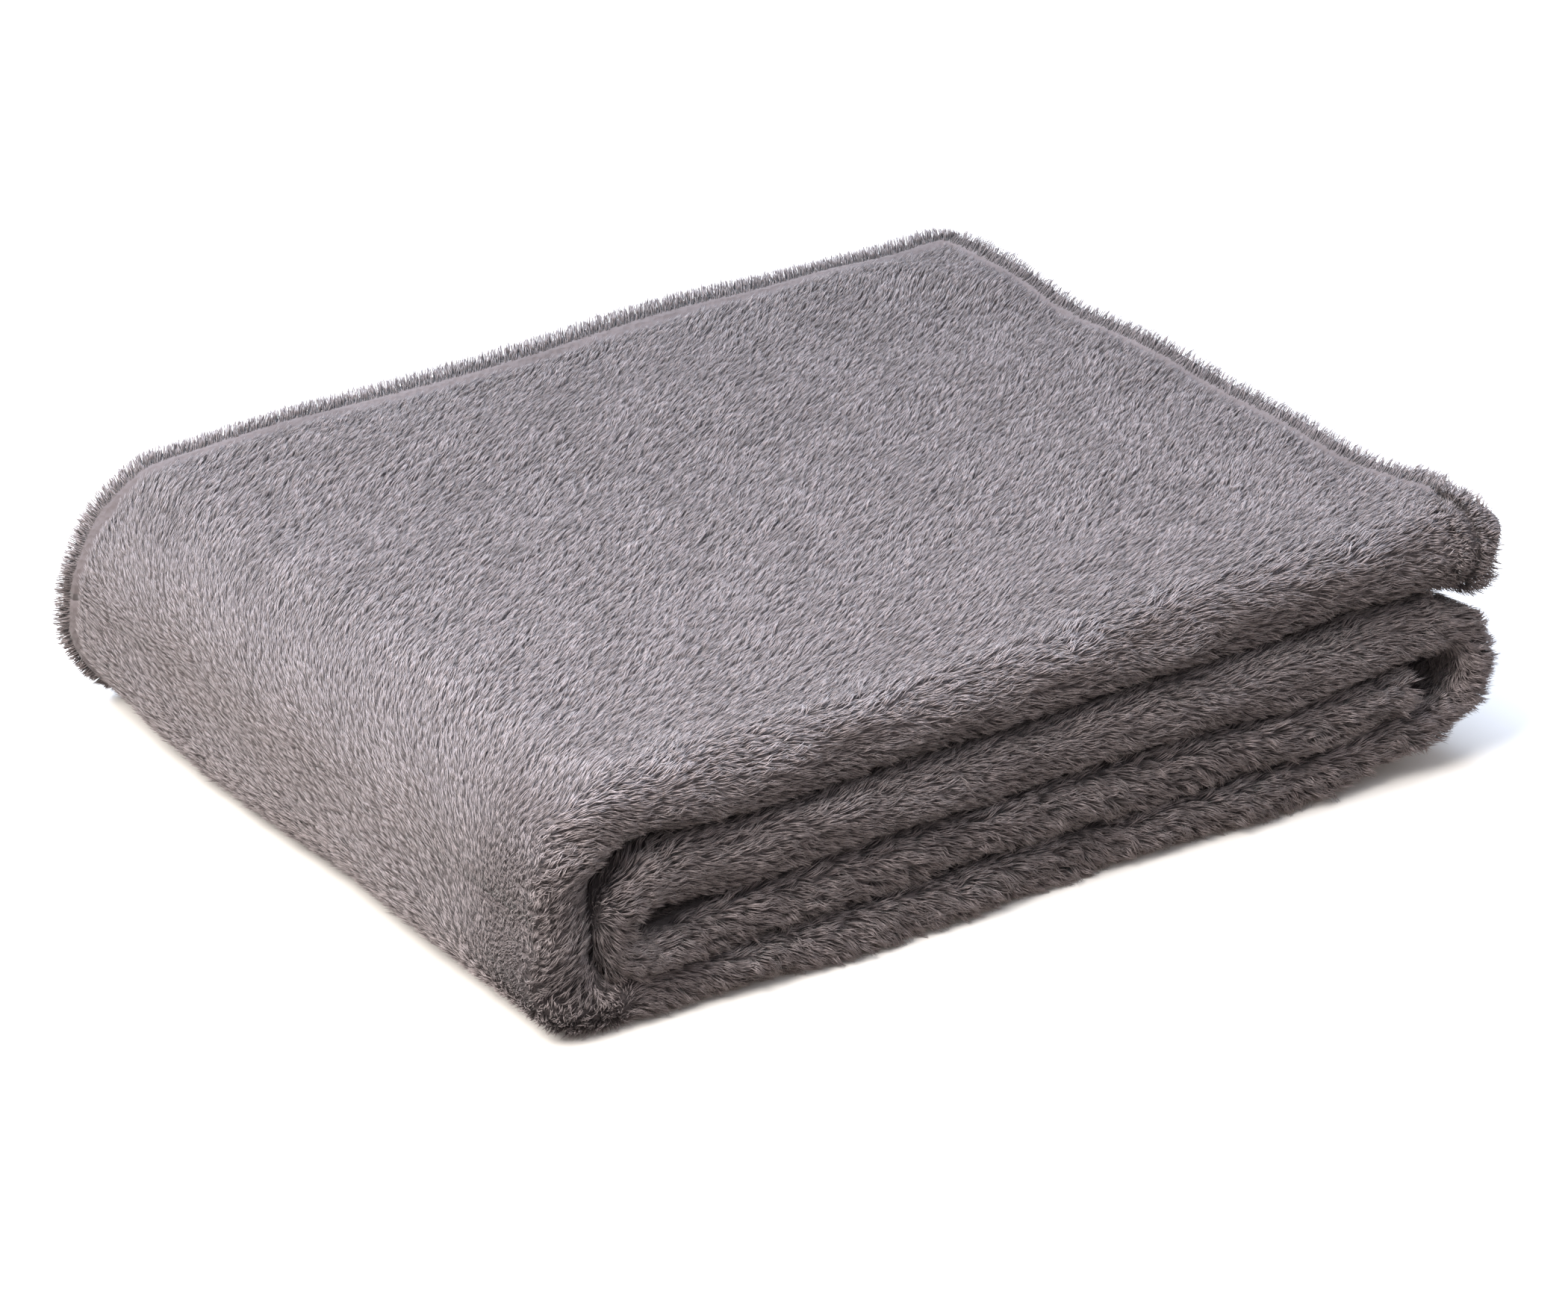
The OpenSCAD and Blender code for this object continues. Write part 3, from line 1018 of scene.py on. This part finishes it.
def lamp(name, stand_at, look_at, size, power, colour):
    light = bpy.data.lights.new(name, "AREA")
    light.shape = "DISK"
    light.size = size
    light.energy = power
    light.color = colour
    piece = bpy.data.objects.new(name, light)
    piece.location = stand_at
    piece.rotation_euler = (Vector(look_at) - Vector(stand_at)).to_track_quat("-Z", "Y").to_euler()
    bpy.context.scene.collection.objects.link(piece)


# The world's light by height: straight down, level, half way up and straight up
GLOW = [
    (0.0, (0.24, 0.20, 0.18)),
    (0.5, (0.54, 0.45, 0.40)),
    (0.75, (0.78, 0.76, 0.78)),
    (1.0, (0.98, 1.05, 1.2)),
]


def world():
    """Soft light from all round: bright and cool overhead, dim and warm from below."""
    scene_world = bpy.data.worlds.new("studio")
    bpy.context.scene.world = scene_world
    scene_world.use_nodes = True
    nodes, links = scene_world.node_tree.nodes, scene_world.node_tree.links
    where = nodes.new("ShaderNodeTexCoord")
    split = nodes.new("ShaderNodeSeparateXYZ")
    height = nodes.new("ShaderNodeMapRange")
    height.inputs["From Min"].default_value = -1.0
    glow = nodes.new("ShaderNodeValToRGB")
    for n, (position, colour) in enumerate(GLOW):
        stop = glow.color_ramp.elements[n] if n < 2 else glow.color_ramp.elements.new(position)
        stop.position = position
        stop.color = (*colour, 1)
    links.new(where.outputs["Generated"], split.inputs["Vector"])
    links.new(split.outputs["Z"], height.inputs["Value"])
    links.new(height.outputs["Result"], glow.inputs["Fac"])
    links.new(glow.outputs["Color"], nodes["Background"].inputs["Color"])
    nodes["Background"].inputs["Strength"].default_value = 1.0


floor()
world()
middle = Vector((0, 0, HEIGHT / 2))
lamp("key", stand_at=(0.3, -1.05, 1.2), look_at=middle, size=1.0, power=53, colour=(1.0, 0.95, 0.90))
lamp("sky", stand_at=(-0.7, -0.1, 2.1), look_at=middle, size=2.4, power=76, colour=(0.71, 0.84, 1.06))

# The camera's place and lens, and how far its aim is off the throw's middle, to its right and upward
AZIMUTH, ELEVATION, DISTANCE = radians(55.84), radians(25.5), 2.44
LENS, SENSOR = 157.6, 36
AIM_HEIGHT, AIM_RIGHT, AIM_UP = 45 * MM, 4.6 * MM, -11.1 * MM

right = Vector((cos(AZIMUTH), sin(AZIMUTH), 0))
forward = Vector((-sin(AZIMUTH) * cos(ELEVATION), cos(AZIMUTH) * cos(ELEVATION), -sin(ELEVATION)))
upward = right.cross(forward)
aim = Vector((0, 0, AIM_HEIGHT)) + AIM_RIGHT * right + AIM_UP * upward

camera_data = bpy.data.cameras.new("camera")
camera_data.lens = LENS
camera_data.sensor_width = SENSOR
camera = bpy.data.objects.new("camera", camera_data)
camera.location = aim - forward * DISTANCE
camera.rotation_euler = forward.to_track_quat("-Z", "Y").to_euler()
bpy.context.scene.collection.objects.link(camera)
bpy.context.scene.camera = camera
bpy.context.scene.view_settings.view_transform = "Standard"
